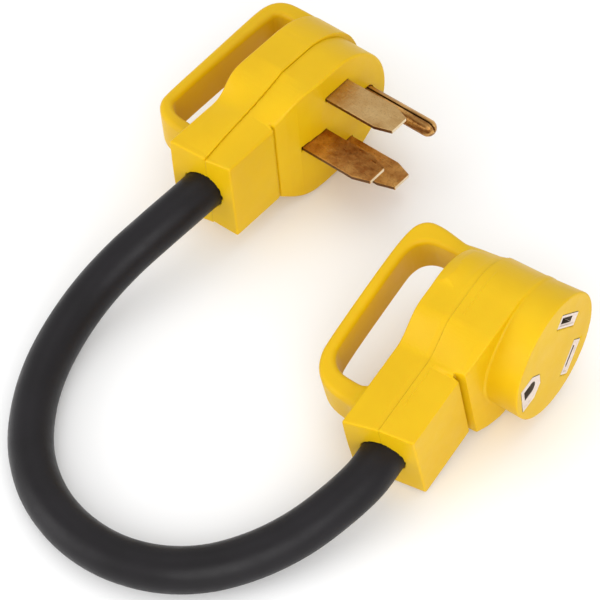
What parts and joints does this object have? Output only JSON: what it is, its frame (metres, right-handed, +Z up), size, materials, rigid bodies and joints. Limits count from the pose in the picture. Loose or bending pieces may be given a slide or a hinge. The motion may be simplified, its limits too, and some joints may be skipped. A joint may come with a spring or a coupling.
{
  "type": "rv power adapter dogbone",
  "caption": "Short flexible power adapter: a plug head with straight prongs and a recessed-slot socket head, each with a grip handle, joined by a thick round cord.",
  "frame": {"origin": "on the floor, under the middle of the box round the two heads", "axes": "+X the way the plug's prongs point, +Y from the cord towards the heads, +Z up from the floor the adapter lies on"},
  "size_m": [0.1812, 0.2163, 0.0518],
  "materials": {
    "yellow_body": "satin moulded",
    "prong_brass": "bare stamped",
    "contact_brass": "bare stamped",
    "inner_block": "moulded",
    "slot_insert": "moulded",
    "cord_jacket": "satin",
    "wire_black": "satin",
    "wire_white": "satin",
    "wire_green": "satin"
  },
  "bodies": {
    "root": {"plug_front_cover": "yellow_body", "plug_rear_cover": "yellow_body", "plug_contact_block": "inner_block", "plug_cord_collar": "inner_block", "hot_blade_x": "prong_brass", "hot_blade_y": "prong_brass", "neutral_blade": "prong_brass", "ground_pin": "prong_brass", "plug_hot_terminal": "contact_brass", "plug_neutral_terminal": "contact_brass", "plug_ground_terminal": "contact_brass", "plug_hot_wire": "wire_black", "plug_neutral_wire": "wire_white", "plug_ground_wire": "wire_green", "socket_front_cover": "yellow_body", "socket_rear_cover": "yellow_body", "socket_face_insert": "slot_insert", "socket_cord_collar": "inner_block", "socket_hot_contact": "contact_brass", "socket_neutral_contact": "contact_brass", "socket_ground_contact": "contact_brass", "socket_hot_wire": "wire_black", "socket_neutral_wire": "wire_white", "socket_ground_wire": "wire_green", "cord": "cord_jacket"}
  },
  "joints": []
}
